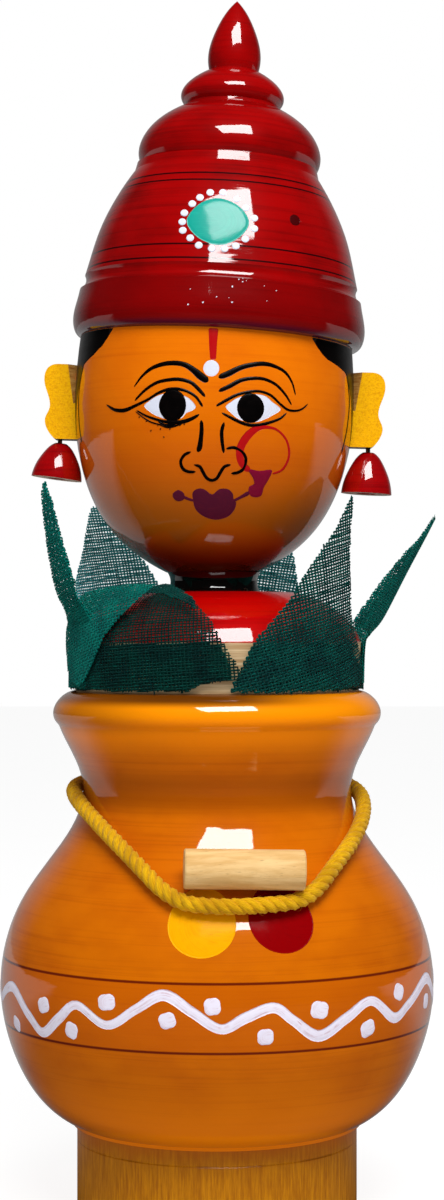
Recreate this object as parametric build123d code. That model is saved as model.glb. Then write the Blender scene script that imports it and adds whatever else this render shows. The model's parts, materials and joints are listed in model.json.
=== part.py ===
"""A lathe-turned, lacquered wooden kalash doll: a painted head on a pot, with gauze mango leaves.

Millimetres. +Z is up, the face looks toward -Y and +X is at the viewer's right.
The origin is the centre of the foot's underside.
"""
import os
from math import pi, radians, sin, tan

from build123d import *

os.makedirs("parts", exist_ok=True)

# Heights above the table
FOOT_TOP = 17.2
FOOT_SCRIBE_Z = 14.0
BELLY_Z = 45.4
WAIST_Z = 84.0
LIP_CREASE_Z = 96.0
LIP_Z = 98.4
MOUTH_Z = 103.0
DOME_EDGE_Z = 112.8
DOME_TOP_Z = 122.7
NECK_TOP_Z = 126.5
HEAD_Z = 157.6

# Radii
FOOT_R = 27.9
BELLY_R = 43.1
WAIST_R = 26.8
LIP_R = 32.7
MOUTH_R = 28.4
SOCKET_R = 20.0
BAND_R = 28.7
FOOT_TENON_R = 10.0
COLLAR_R = 9.3
HEAD_R = 27.6
BRIM_R = 29.0
FINIAL_R = 18.2

# How deep the tenons and bores go
SOCKET_FLOOR_Z = 78.0
PLUG_FOOT_Z = 83.0
FOOT_TENON = 12.3
NECK_PEG = (100.2, 147.0)
CAP_PEG = (-11.8, 13.8)
FINIAL_TENON = 8.0
FINIAL_TENON_R = 5.0

# Fits
RUNNING_CLEARANCE = 0.05
GLUE_GAP = 0.02
PEG_R = 4.0

# How the hand-fitted head, cap and finial sit: each rolled to the viewer's right by its own amount
HEAD_X = -0.6
HEAD_ROLL = 1.6
CROWN_H = 16.0
CAP_X = 0.2
CAP_Z = 172.0
CAP_ROLL = 3.0
FINIAL_X = 2.4
FINIAL_Z = 207.2
FINIAL_ROLL = 2.8

# Ears, and the bells under them
EAR_IN = 26.3
EAR_THICK = 4.5
EAR_H = 2.0
EAR_PIN_HEIGHTS = (2.4, 6.8)
BELL_R = 5.05
BRAD_R = 0.45
BELLS = {
    "left": {"x": -31.4, "top": 152.6, "height": 7.4, "tilt": 7.4},
    "right": {"x": 30.2, "top": 150.8, "height": 8.6, "tilt": 3.1},
}
PIVOT_DROP = 2.0

# Gauze leaves: azimuth of the middle, half width at the band, lean outward, height above the band
GAUZE = 0.6
BAND_TOP_Z = 112.0
LEAF_R = 29.5
FRONT_LEAF_AZIMUTH = -26
LEAVES = {
    "leaf_left": {"azimuth": -76, "half_width": 25, "lean": 15, "height": 28.5},
    "leaf_right_front": {"azimuth": 38, "half_width": 30, "lean": 13, "height": 27.8},
    "leaf_right": {"azimuth": 92, "half_width": 20, "lean": 31, "height": 24.5},
    "leaf_back_left": {"azimuth": -146, "half_width": 28, "lean": 4, "height": 27.0},
    "leaf_back_right": {"azimuth": 147, "half_width": 28, "lean": 6, "height": 26.0},
}

# The sacred thread: a 2.9 mm cotton rope tied behind the waist, its slack over the belly in front
ROPE_D = 2.9
ROPE_ROUTE = [
    (4.0, 28.7, 84.0),
    (10.3, 27.2, 84.1),
    (18.7, 22.3, 84.0),
    (25.6, 14.2, 83.7),
    (28.9, 4.2, 82.5),
    (29.2, -6.4, 79.4),
    (26.8, -16.9, 75.2),
    (22.3, -27.2, 70.8),
    (17.1, -34.8, 65.0),
    (8.5, -38.9, 64.5),
    (-0.5, -39.6, 64.3),
    (-8.2, -37.9, 65.2),
    (-15.8, -30.0, 72.2),
    (-23.7, -18.0, 78.7),
    (-28.3, -6.4, 82.4),
    (-28.7, 4.9, 83.8),
    (-24.8, 15.0, 84.0),
    (-18.0, 22.6, 84.1),
    (-10.2, 27.4, 84.0),
    (-4.0, 28.7, 83.9),
]

# The turmeric stick lying on the thread
STICK_R = 3.75
STICK_LENGTH = 22.3
STICK_AZIMUTH = 8.0
STICK_OUT = 36.9
STICK_Z = 70.9


def turned(*outline):
    """A solid of revolution about Z; the outline's X is the radius and its Y the height."""
    edges = [edge for curve in outline for edge in curve.edges()]
    return revolve(Plane.XZ * make_face(edges), Axis.Z)


def rod(radius, low, high):
    """A plain round rod or bore along Z between two heights."""
    return Pos(0, 0, low) * extrude(Circle(radius), high - low)


def head_place():
    """Where the rolled head's centre sits."""
    return Pos(HEAD_X, 0, HEAD_Z) * Rot(0, HEAD_ROLL, 0)


def cap_place():
    """Where the cap's underside sits on the head's crown, which is cut to the cap's slant."""
    return Pos(CAP_X, 0, CAP_Z) * Rot(0, CAP_ROLL, 0)


def pot_body():
    """The turned pot: round belly, waist and rolled lip, with the socket that takes the plug."""
    underside_r = FOOT_R + 0.9
    foot_joint = (underside_r + 0.3, FOOT_TOP + 0.7)
    belly = Spline(
        foot_joint, (34.2, 21.4), (40.3, 31.0), (BELLY_R, BELLY_Z), (39.0, 61.2), (32.2, 71.0),
        (27.3, 79.8), (WAIST_R, WAIST_Z), (27.9, 88.4), (29.8, 92.3), (31.5, LIP_CREASE_Z),
    )
    outline = [
        Line((0, FOOT_TOP), (underside_r, FOOT_TOP)),
        Line((underside_r, FOOT_TOP), foot_joint),
        belly,
        Line((31.5, LIP_CREASE_Z), (31.8, LIP_CREASE_Z + 0.4)),
        Spline((31.8, LIP_CREASE_Z + 0.4), (LIP_R, LIP_Z), (31.4, 101.4), (MOUTH_R, MOUTH_Z)),
        Line((MOUTH_R, MOUTH_Z), (0, MOUTH_Z)),
        Line((0, MOUTH_Z), (0, FOOT_TOP)),
    ]
    socket = rod(SOCKET_R, SOCKET_FLOOR_Z, MOUTH_Z + 1)
    foot_hole = rod(FOOT_TENON_R + GLUE_GAP, FOOT_TOP - 1, FOOT_TOP + FOOT_TENON + 0.2)
    return turned(*outline) - socket - foot_hole


def pot_foot():
    """The separate foot, with the round tenon that is glued into the pot."""
    groove = (FOOT_R - 0.12, FOOT_SCRIBE_Z)
    tenon_top = FOOT_TOP + FOOT_TENON
    outline = [
        Polyline((0, 0), (FOOT_R - 0.6, 0), (FOOT_R, 0.6), (FOOT_R, FOOT_SCRIBE_Z - 0.2), groove),
        Polyline(groove, (FOOT_R, FOOT_SCRIBE_Z + 0.2), (FOOT_R, FOOT_TOP), (FOOT_TENON_R, FOOT_TOP)),
        Polyline((FOOT_TENON_R, FOOT_TOP), (FOOT_TENON_R, tenon_top - 0.7), (FOOT_TENON_R - 0.8, tenon_top)),
        Polyline((FOOT_TENON_R - 0.8, tenon_top), (0, tenon_top), (0, 0)),
    ]
    return turned(*outline)


def shoulder_plug():
    """The stopper: a tenon in the pot's socket, a bare wooden band and the domed shoulders."""
    tenon_r = SOCKET_R - RUNNING_CLEARANCE
    outline = [
        Polyline((0, PLUG_FOOT_Z), (tenon_r - 1, PLUG_FOOT_Z), (tenon_r, PLUG_FOOT_Z + 1), (tenon_r, MOUTH_Z)),
        Polyline((tenon_r, MOUTH_Z), (BAND_R - 0.4, MOUTH_Z), (BAND_R, DOME_EDGE_Z - 0.4)),
        Line((BAND_R, DOME_EDGE_Z - 0.4), (BAND_R, DOME_EDGE_Z)),
        Spline((BAND_R, DOME_EDGE_Z), (27.4, 115.4), (22.6, 119.8), (15.6, DOME_TOP_Z - 0.2)),
        Polyline((15.6, DOME_TOP_Z - 0.2), (9.6, DOME_TOP_Z), (0, DOME_TOP_Z), (0, PLUG_FOOT_Z)),
    ]
    peg_hole = Pos(HEAD_X, 0, 0) * rod(PEG_R + GLUE_GAP, NECK_PEG[0] - 0.2, DOME_TOP_Z + 1)
    return turned(*outline) - peg_hole


def neck_peg():
    """The dowel that is glued in the shoulders, and on which the head turns."""
    peg = rod(PEG_R, *NECK_PEG)
    return Pos(HEAD_X, 0, 0) * chamfer(peg.edges().filter_by(GeomType.CIRCLE), 0.5)


def neck_collar():
    """The black collar between the shoulders and the chin."""
    bore = PEG_R + GLUE_GAP
    middle_z = (DOME_TOP_Z + NECK_TOP_Z) / 2
    outline = [
        Line((bore, DOME_TOP_Z), (COLLAR_R, DOME_TOP_Z)),
        ThreePointArc((COLLAR_R, DOME_TOP_Z), (COLLAR_R - 0.6, middle_z), (COLLAR_R, NECK_TOP_Z)),
        Polyline((COLLAR_R, NECK_TOP_Z), (bore, NECK_TOP_Z), (bore, DOME_TOP_Z)),
    ]
    return Pos(HEAD_X, 0, 0) * turned(*outline)


def head_form(extra=0.0):
    """The head's outer form in its own roll: a barrel above and an egg below."""
    side = [(6.0, -32.4), (13.2, -28.9), (20.6, -22.4), (24.6, -15.4), (HEAD_R, -1.5), (26.9, CROWN_H)]
    side = [(radius + extra, height) for radius, height in side]
    outline = [
        Line((0, side[0][1]), side[0]),
        Spline(*side),
        Polyline(side[-1], (0, CROWN_H), (0, side[0][1])),
    ]
    return head_place() * turned(*outline)


def cap_peg():
    """The dowel that is glued in the crown of the head, and on which the cap turns."""
    peg = rod(PEG_R, *CAP_PEG)
    return cap_place() * chamfer(peg.edges().filter_by(GeomType.CIRCLE), 0.5)


def ear_pins():
    """Four wooden pins, two through the inner edge of each ear plate into the head."""
    pins = []
    for side in (-1, 1):
        for height in EAR_PIN_HEIGHTS:
            pin = Pos(side * 20.5, 0, height) * Rot(0, side * 90, 0) * extrude(Circle(0.9), 9.6)
            pins.append(head_place() * pin)
    return Compound(children=pins)


def ear_pin_holes():
    """The holes for the ear pins, in the head and in the plates."""
    holes = []
    for side in (-1, 1):
        for height in EAR_PIN_HEIGHTS:
            hole = Pos(side * 20.3, 0, height) * Rot(0, side * 90, 0) * extrude(Circle(0.92), 10.0)
            holes.append(head_place() * hole)
    return holes


def head():
    """The turned head, with its flat seat, the two peg bores and the ear pin holes."""
    seat = Pos(0, 0, NECK_TOP_Z + 50) * Box(100, 100, 100)
    crown = cap_place() * Pos(0, 0, 20) * Box(100, 100, 40)
    neck_bore = Pos(HEAD_X, 0, 0) * rod(PEG_R + RUNNING_CLEARANCE, NECK_TOP_Z - 5, NECK_PEG[1] + 1)
    cap_bore = cap_place() * rod(PEG_R + GLUE_GAP, CAP_PEG[0] - 0.2, 5.0)
    form = (head_form() & seat) - crown - neck_bore - cap_bore
    for hole in ear_pin_holes():
        form -= hole
    return form


def ear_plate(side):
    """One sawn ear plate with its scalloped outer edge; side is -1 at the viewer's left."""
    u = EAR_IN
    outer = Spline(
        (u + 4.4, 7.5), (u + 7.4, 6.0), (u + 7.6, 3.8), (u + 6.5, 0.2), (u + 6.5, -1.4),
        (u + 7.3, -3.4), (u + 6.9, -5.4), (u + 5.2, -7.4),
    )
    inner = Polyline((u + 5.2, -7.4), (u, -7.4), (u, 7.5), (u + 4.4, 7.5))
    outline = make_face(outer.edges() + inner.edges())
    plate = extrude(Plane.XZ * Pos(0, 0, -EAR_THICK / 2) * outline, EAR_THICK)
    # The front inner corner is pared away on a slant, more at the top.
    paring = Pos(u + 0.8, -EAR_THICK / 2, 8) * Rot(0, 9, 45) * Box(3.2, 3.2, 16)
    plate = Pos(0, 0, EAR_H) * (plate - paring)
    if side < 0:
        plate = mirror(plate, Plane.YZ)
    plate = head_place() * plate - head_form(GLUE_GAP)
    for hole in ear_pin_holes():
        plate -= hole
    return plate - bell_brad("left" if side < 0 else "right", GLUE_GAP)


def bell_brad(name, extra=0.0):
    """The headed brad, driven up into an ear plate, that a bell hangs on."""
    bell = BELLS[name]
    pivot_z = bell["top"] - PIVOT_DROP
    shank = rod(BRAD_R + extra, pivot_z - 1.4, bell["top"] + 4.5)
    brad_head = rod(1.3, pivot_z - 1.6, pivot_z - 1.0)
    return Pos(bell["x"], 0, 0) * (shank + brad_head)


def bell_brads():
    """Both brads."""
    return Compound(children=[bell_brad(name) for name in BELLS])


def ear_bell(name):
    """One turned bell, drilled for its brad, hung with its own small tilt."""
    bell = BELLS[name]
    height = bell["height"]
    outline = [
        Line((0, 0), (BELL_R, 0)),
        Spline((BELL_R, 0), (4.5, height * 0.33), (3.3, height * 0.65), (1.6, height * 0.92), (0, height)),
        Line((0, height), (0, 0)),
    ]
    ceiling = height - PIVOT_DROP - 0.65
    solid = turned(*outline) - rod(1.9, -1, ceiling) - rod(1.1, 0, height + 1)
    pivot = height - PIVOT_DROP
    hung = Rot(0, bell["tilt"], 0) * Pos(0, 0, -pivot) * solid
    return Pos(bell["x"], 0, bell["top"] - PIVOT_DROP) * hung


def cap_dome():
    """The cap: a thick rolled brim, a cove and the bell-shaped crown."""
    outline = [
        Line((0, 0), (27.1, 0)),
        Spline((27.1, 0), (28.4, 0.7), (BRIM_R, 2.1), (28.9, 5.6), (28.1, 9.3)),
        ThreePointArc((28.1, 9.3), (27.0, 10.7), (27.2, 12.2)),
        Spline((27.2, 12.2), (26.6, 14.6), (24.9, 20.9), (22.2, 27.2), (18.4, 33.5)),
        Polyline((18.4, 33.5), (17.7, 36.4), (0, 36.4), (0, 0)),
    ]
    cap = cap_place() * (turned(*outline) - rod(PEG_R + RUNNING_CLEARANCE, -1, CAP_PEG[1] + 0.6))
    top = finial_place() * Pos(0, 0, 20) * Box(60, 60, 40)
    tenon_hole = finial_place() * rod(FINIAL_TENON_R + GLUE_GAP, -FINIAL_TENON - 0.2, 1)
    return cap - top - tenon_hole


def finial_place():
    """Where the finial's underside sits."""
    return Pos(FINIAL_X, 0, FINIAL_Z) * Rot(0, FINIAL_ROLL, 0)


def cap_finial():
    """The finial: a wide ring, a small ring and a pointed bud on a tenon."""
    outline = [
        Polyline((0, -FINIAL_TENON), (FINIAL_TENON_R, -FINIAL_TENON), (FINIAL_TENON_R, 0), (17.6, 0)),
        Spline((17.6, 0), (FINIAL_R, 2.6), (17.0, 6.0), (13.4, 9.7), (9.6, 11.9)),
        Line((9.6, 11.9), (9.5, 12.4)),
        Spline((9.5, 12.4), (10.3, 14.2), (8.4, 17.2), (4.9, 19.4)),
        Spline((4.9, 19.4), (5.25, 22.6), (3.9, 27.6), (1.6, 31.8), (0, 33.6)),
        Line((0, 33.6), (0, -FINIAL_TENON)),
    ]
    return finial_place() * turned(*outline)


def leaf_band():
    """The strip of gauze wrapped round the plug's bare band."""
    low = MOUTH_Z + 0.3
    return rod(BAND_R + 1.1, low, BAND_TOP_Z) - rod(BAND_R + 0.15, low - 1, BAND_TOP_Z + 1)


def cone_leaf(azimuth, half_width, lean, height):
    """A pointed leaf cut from a cone that rises from the band and leans outward."""
    low = BAND_TOP_Z + 0.05
    out = LEAF_R + height * tan(radians(lean))
    shell = Polyline(
        (LEAF_R, low), (LEAF_R + GAUZE, low), (out + GAUZE, low + height), (out, low + height), (LEAF_R, low)
    )
    half = LEAF_R * sin(radians(half_width))
    tip = low + height
    blade = make_face(Polyline((-half, low), (half, low), (1.0, tip), (-1.0, tip), (-half, low)))
    wedge = extrude(Plane.XZ * blade, 70)
    return Rot(0, 0, azimuth) * (turned(shell) & wedge)


def leaf_front():
    """The front leaf, which has curled back over the shoulders."""
    low = BAND_TOP_Z + 0.05
    path = [(LEAF_R, low), (29.1, 116.0), (25.2, 120.2), (18.2, 123.9)]
    back = [(r + GAUZE * 0.7, z + GAUZE * 0.7) for r, z in reversed(path)]
    shell = Polyline(*path, *back, path[0])
    blade = make_face(Polyline((-12.0, low), (12.0, low), (9.0, 128.0), (-9.0, 128.0), (-12.0, low)))
    wedge = extrude(Plane.XZ * blade, 70)
    return Rot(0, 0, FRONT_LEAF_AZIMUTH) * (turned(shell) & wedge)


def rope_radii(points):
    """The radius of the arc at each corner of the route."""
    radii = []
    for before, here, after in zip(points, points[1:], points[2:]):
        first = here - before
        second = after - here
        shorter = min(first.length, second.length)
        radii.append(0.45 * shorter / tan(radians(first.get_angle(second)) / 2))
    return radii


def thread_rope():
    """The sacred thread as a plain round cord along its route."""
    points = [Vector(*point) for point in ROPE_ROUTE]
    radii = rope_radii(points)
    path = FilletPolyline(*points, radius=radii)
    section = Plane(origin=path @ 0, z_dir=path % 0) * Circle(ROPE_D / 2)
    tube = sweep(section, path=path)
    print("rope radii", [round(radius, 1) for radius in radii])
    print("rope length", round(path.length, 1), "volume ratio",
          round(tube.volume / (pi * ROPE_D ** 2 / 4 * path.length), 4))
    return tube


def thread_knot():
    """The reef knot behind the waist, face to face with both ends of the thread."""
    knot = Pos(0, 29.8, 83.9) * Box(7.9, 4.4, 6.4)
    return fillet(knot.edges().filter_by(Axis.Y), 1.2)


def turmeric_stick():
    """The stick, with a shallow seat where it is glued on the pot."""
    stick = Rot(0, 90, 0) * Cylinder(STICK_R, STICK_LENGTH)
    stick = chamfer(stick.edges().filter_by(GeomType.CIRCLE), 0.25)
    placed = Rot(0, 0, STICK_AZIMUTH) * Pos(0, -STICK_OUT, STICK_Z) * Rot(0, 1.0, -4.0) * stick
    return placed - pot_body()


def build_all():
    """Every node by name."""
    nodes = {
        "pot_body": pot_body(),
        "pot_foot": pot_foot(),
        "shoulder_plug": shoulder_plug(),
        "neck_peg": neck_peg(),
        "neck_collar": neck_collar(),
        "head": head(),
        "cap_peg": cap_peg(),
        "ear_pins": ear_pins(),
        "ear_plate_left": ear_plate(-1),
        "ear_plate_right": ear_plate(1),
        "bell_brads": bell_brads(),
        "bell_left": ear_bell("left"),
        "bell_right": ear_bell("right"),
        "cap_dome": cap_dome(),
        "cap_finial": cap_finial(),
        "leaf_band": leaf_band(),
        "leaf_front": leaf_front(),
        "thread_rope": thread_rope(),
        "thread_knot": thread_knot(),
        "turmeric_stick": turmeric_stick(),
    }
    for name, leaf in LEAVES.items():
        nodes[name] = cone_leaf(**leaf)
    return nodes


for node, shape in build_all().items():
    export_step(shape, f"parts/{node}.step")
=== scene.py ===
"""A lacquered wooden kalash doll: the finishes, paint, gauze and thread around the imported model.

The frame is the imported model's own: +Z is up and the face looks toward -Y. Objects and textures are in
metres. Tables of points are in millimetres and degrees, apart from the thread's route.
"""
import json
import math
import random

import bpy
from mathutils import Euler, Matrix, Vector
from mathutils.bvhtree import BVHTree

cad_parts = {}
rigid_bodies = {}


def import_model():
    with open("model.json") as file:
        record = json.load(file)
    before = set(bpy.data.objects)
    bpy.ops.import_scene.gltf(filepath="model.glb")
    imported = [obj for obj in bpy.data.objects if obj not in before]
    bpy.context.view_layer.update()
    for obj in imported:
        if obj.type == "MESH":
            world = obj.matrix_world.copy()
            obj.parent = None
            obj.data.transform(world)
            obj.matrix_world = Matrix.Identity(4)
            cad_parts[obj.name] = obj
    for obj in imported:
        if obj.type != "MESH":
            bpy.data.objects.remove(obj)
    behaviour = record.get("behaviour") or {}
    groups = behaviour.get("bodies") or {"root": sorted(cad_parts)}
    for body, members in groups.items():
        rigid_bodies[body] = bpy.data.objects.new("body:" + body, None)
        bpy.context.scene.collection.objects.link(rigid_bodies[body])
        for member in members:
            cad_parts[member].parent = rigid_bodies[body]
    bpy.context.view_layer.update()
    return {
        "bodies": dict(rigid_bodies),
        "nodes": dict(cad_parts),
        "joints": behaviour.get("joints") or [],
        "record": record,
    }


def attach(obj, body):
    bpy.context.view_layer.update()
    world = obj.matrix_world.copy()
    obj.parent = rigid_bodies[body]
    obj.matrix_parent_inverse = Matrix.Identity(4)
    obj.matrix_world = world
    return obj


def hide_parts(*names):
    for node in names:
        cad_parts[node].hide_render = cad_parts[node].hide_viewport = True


MM = 0.001

# Heights and radii of the turned parts, in millimetres
BELLY_R = 43.1
BAND_BOTTOM = 38.0
BAND_TOP = 50.7
WAIST_Z = 84.0
LIP_CREASE = 96.0
LIP_FACE = 100.0
FOOT_SCRIBE = 14.0
DOME_EDGE = 112.6
HEAD_R = 27.6

# Heights of the ring lines scribed in the cap, from the middle of its own frame
CAP_SCRIBES = (13.0, 15.7, 28.9, 30.4)
CAP_BRIM_TOP = 11.0

# The frames of the parts: centre in millimetres, roll to the viewer's right in degrees
UPRIGHT = ((0.0, 0.0, 0.0), 0.0)
HEAD = ((-0.6, 0.0, 157.6), 1.6)
CAP = ((0.2, 0.0, 172.0), 3.0)

# The body that each painted part belongs to, and the slot of its finish
PAINTED = {
    "head": ("head", "face_lacquer"),
    "cap_dome": ("cap", "red_lacquer"),
    "pot_body": ("pot", "orange_lacquer"),
}

# The points that control the thread's route, in metres, and how its strands are laid
ROPE_ROUTE = [
    (0.004, 0.0287, 0.084), (0.0103, 0.0272, 0.0841), (0.0187, 0.0223, 0.084), (0.0256, 0.0142, 0.0837),
    (0.0289, 0.0042, 0.0825), (0.0292, -0.0064, 0.0794), (0.0268, -0.0169, 0.0752),
    (0.0223, -0.0272, 0.0708), (0.0171, -0.0348, 0.065), (0.0085, -0.0389, 0.0645),
    (-0.0005, -0.0396, 0.0643), (-0.0082, -0.0379, 0.0652), (-0.0158, -0.03, 0.0722),
    (-0.0237, -0.018, 0.0787), (-0.0283, -0.0064, 0.0824), (-0.0287, 0.0049, 0.0838),
    (-0.0248, 0.015, 0.084), (-0.018, 0.0226, 0.0841), (-0.0102, 0.0274, 0.084), (-0.004, 0.0287, 0.0839),
]
ROPE_D = 2.9 * MM
ROPE_LOFT = 1.07
ROPE_PITCH = 6.2 * MM
STRANDS = 3


# ---------------------------------------------------------------- helpers

def srgb(red, green, blue):
    """A linear RGBA colour from 0-255 screen values."""
    linear = []
    for value in (red, green, blue):
        share = value / 255
        linear.append(share / 12.92 if share <= 0.04045 else ((share + 0.055) / 1.055) ** 2.4)
    return (*linear, 1.0)


def smooth_line(points, step):
    """Points about one step apart on a smooth curve through all the given points."""
    ends = [points[0], *points, points[-1]]
    line = []
    for before, here, after, beyond in zip(ends, ends[1:], ends[2:], ends[3:]):
        count = max(1, math.ceil((after - here).length / step))
        for index in range(count):
            t = index / count
            line.append(0.5 * (
                2 * here + (after - before) * t
                + (2 * before - 5 * here + 4 * after - beyond) * t ** 2
                + (3 * here - before - 3 * after + beyond) * t ** 3
            ))
    line.append(points[-1])
    return line


def neighbours(line, index):
    """The points just before and after one point of a line."""
    return line[max(index - 1, 0)], line[min(index + 1, len(line) - 1)]


def between(value, table):
    """A value read off a short table of (position, value) pairs, with straight lines between."""
    for (low, first), (high, second) in zip(table, table[1:]):
        if value <= high:
            share = (value - low) / (high - low)
            return first + (second - first) * min(max(share, 0.0), 1.0)
    return table[-1][1]


def place_in(rolled):
    """The origin and the turn of a rolled frame."""
    centre, roll = rolled
    return Vector(centre) * MM, Euler((0.0, math.radians(roll), 0.0)).to_matrix()


def link(made):
    """Put a new object in the scene."""
    bpy.context.collection.objects.link(made)
    return made


class Shape:
    """Vertices and faces of one piece, with a vector for each vertex that its material reads."""

    def __init__(self):
        self.points = []
        self.laid = []
        self.faces = []

    def grid(self, rows, laid, closed_rows=False):
        """Faces over a grid of points; closed_rows joins each row's last point to its first."""
        start = len(self.points)
        width = len(rows[0])
        for row, row_laid in zip(rows, laid):
            self.points.extend(row)
            self.laid.extend(row_laid)
        for i in range(len(rows) - 1):
            for j in range(width if closed_rows else width - 1):
                k = (j + 1) % width
                low = start + i * width
                self.faces.append((low + j, low + k, low + width + k, low + width + j))
        return start

    def tube(self, rows, laid):
        """A closed tube through rings of points."""
        width = len(rows[0])
        start = self.grid(rows, laid, closed_rows=True)
        end = len(self.points)
        self.faces.append(tuple(reversed(range(start, start + width))))
        self.faces.append(tuple(range(end - width, end)))

    def piece(self, name, material, body, slot):
        """The finished object, riding on its body."""
        mesh = bpy.data.meshes.new(name)
        mesh.from_pydata(self.points, [], self.faces)
        laid = mesh.attributes.new("laid", "FLOAT_VECTOR", "POINT")
        laid.data.foreach_set("vector", [value for vector in self.laid for value in vector])
        mesh.shade_smooth()
        mesh.materials.append(material)
        made = link(bpy.data.objects.new(name, mesh))
        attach(made, body)
        return made


def rail(line):
    """Each point of a line with the distance along it and two sideways directions that don't spin."""
    side = (line[1] - line[0]).normalized().orthogonal().normalized()
    run = 0.0
    for index, point in enumerate(line):
        before, after = neighbours(line, index)
        run += (point - before).length
        tangent = (after - before).normalized()
        side = (side - tangent * side.dot(tangent)).normalized()
        yield point, run, side, tangent.cross(side)


def sweep(shape, line, section):
    """A tube along a line of points. section(index, distance) gives (across, up) offsets in metres."""
    rows = []
    laid = []
    for index, (point, run, side, up) in enumerate(rail(line)):
        ring = section(index, run)
        rows.append([point + side * across + up * rise for across, rise in ring])
        laid.append([(run, 2 * math.pi * j / len(ring), 0.0) for j in range(len(ring))])
    shape.tube(rows, laid)


# ---------------------------------------------------------------- materials

class Nodes:
    """A node tree, with short calls for the nodes that the finishes share."""

    def __init__(self, tree, rolled=UPRIGHT):
        self.tree = tree
        self.rolled = rolled

    def node(self, kind, **settings):
        """A new node with its settings."""
        made = self.tree.nodes.new(kind)
        for key, value in settings.items():
            setattr(made, key, value)
        return made

    def feed(self, socket, value):
        """Link a socket, or set a plain value on it."""
        if isinstance(value, bpy.types.NodeSocket):
            self.tree.links.new(value, socket)
        else:
            socket.default_value = value

    def fed(self, kind, values, output=0, **settings):
        """One output of a new node whose inputs are given by name or number."""
        made = self.node(kind, **settings)
        for key, value in values.items():
            self.feed(made.inputs[key], value)
        return made.outputs[output]

    def point(self, size=(MM, MM, MM), rolled=None, turn=0.0):
        """The place on the object, in its rolled frame, counted in features of the given size in metres."""
        centre, roll = rolled or self.rolled
        return self.fed("ShaderNodeMapping", {
            "Vector": self.node("ShaderNodeTexCoord").outputs["Object"],
            "Location": [value * MM for value in centre],
            "Rotation": (0.0, math.radians(roll), math.radians(turn)), "Scale": size,
        }, vector_type="TEXTURE")

    def laid(self, size):
        """The vertex vector along and round a swept piece, counted in features of the given size."""
        attribute = self.node("ShaderNodeAttribute", attribute_name="laid")
        values = {"Vector": attribute.outputs["Vector"], "Scale": size}
        return self.fed("ShaderNodeMapping", values, vector_type="TEXTURE")

    def part(self, vector, axis):
        """One component of a vector."""
        return self.fed("ShaderNodeSeparateXYZ", {0: vector}, axis)

    def along(self, axis):
        """The place along one axis of the part's frame, in millimetres."""
        return self.part(self.point(), axis)

    def noise(self, vector, detail=2.0, rough=0.5):
        """Smooth noise, 0 to 1."""
        values = {"Vector": vector, "Scale": 1.0, "Detail": detail, "Roughness": rough}
        return self.fed("ShaderNodeTexNoise", values)

    def speck(self, size, detail=2.0, rough=0.5):
        """Smooth noise, 0 to 1, with features of one size or of (x, y, z) sizes in metres."""
        sizes = size if isinstance(size, tuple) else (size, size, size)
        return self.noise(self.point(sizes), detail, rough)

    def calc(self, kind, first, second=0.0):
        """A Math node."""
        return self.fed("ShaderNodeMath", {0: first, 1: second}, operation=kind)

    def plus(self, first, second):
        """Two values added."""
        return self.calc("ADD", first, second)

    def times(self, first, second):
        """Two values multiplied."""
        return self.calc("MULTIPLY", first, second)

    def unsigned(self, value):
        """A value without its sign."""
        return self.calc("ABSOLUTE", value)

    def ramp(self, value, low, high):
        """0 below low and 1 above high, smooth between; low may be the larger."""
        values = {"Value": value, "From Min": low, "From Max": high}
        return self.fed("ShaderNodeMapRange", values, "Result", interpolation_type="SMOOTHSTEP")

    def spread(self, value, low, high):
        """A 0 to 1 value spread evenly from low to high."""
        return self.fed("ShaderNodeMapRange", {"Value": value, "To Min": low, "To Max": high}, "Result")

    def line(self, value, at, half):
        """1 within a narrow line at a value, 0 away from it."""
        return self.ramp(self.unsigned(self.calc("SUBTRACT", value, at)), half * 1.5, half * 0.5)

    def pick(self, share, first, second):
        """A plain value between two values."""
        return self.fed("ShaderNodeMix", {0: share, 2: first, 3: second})

    def mix(self, share, first, second):
        """A colour between two colours, each a socket or 0-255 screen values."""
        first, second = (srgb(*colour) if isinstance(colour, tuple) else colour for colour in (first, second))
        return self.fed("ShaderNodeMix", {0: share, 6: first, 7: second}, 2, data_type="RGBA")

    def tints(self, colour, value, rows):
        """Colours laid over one another; each row has a strength, a colour and the fades of its zone."""
        for strength, tint, *fades in rows:
            share = strength
            for low, high in fades:
                share = self.times(self.ramp(value, low, high), share)
            colour = self.mix(share, colour, tint)
        return colour

    def bump(self, height, distance, strength=1.0, normal=None):
        """A bumped normal from a height in 0 to 1."""
        values = {"Strength": strength, "Distance": distance, "Height": height}
        if normal:
            values["Normal"] = normal
        return self.fed("ShaderNodeBump", values)

    def facing(self, axis):
        """How far the surface faces along one of the object's own axes, -1 to 1."""
        return self.part(self.node("ShaderNodeTexCoord").outputs["Normal"], axis)


class Surface(Nodes):
    """A material, with its shader."""

    def __init__(self, name, rolled=UPRIGHT):
        self.material = bpy.data.materials.new(name)
        self.material.use_nodes = True
        super().__init__(self.material.node_tree, rolled)
        self.shader = self.tree.nodes["Principled BSDF"]

    def set(self, **values):
        """Set the shader's sockets; underscores stand for spaces."""
        for key, value in values.items():
            self.feed(self.shader.inputs[key.replace("_", " ")], value)
        return self.material


# The size of the finest dents, grain and lathe rings, in metres
FINE = 0.0005


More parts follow.
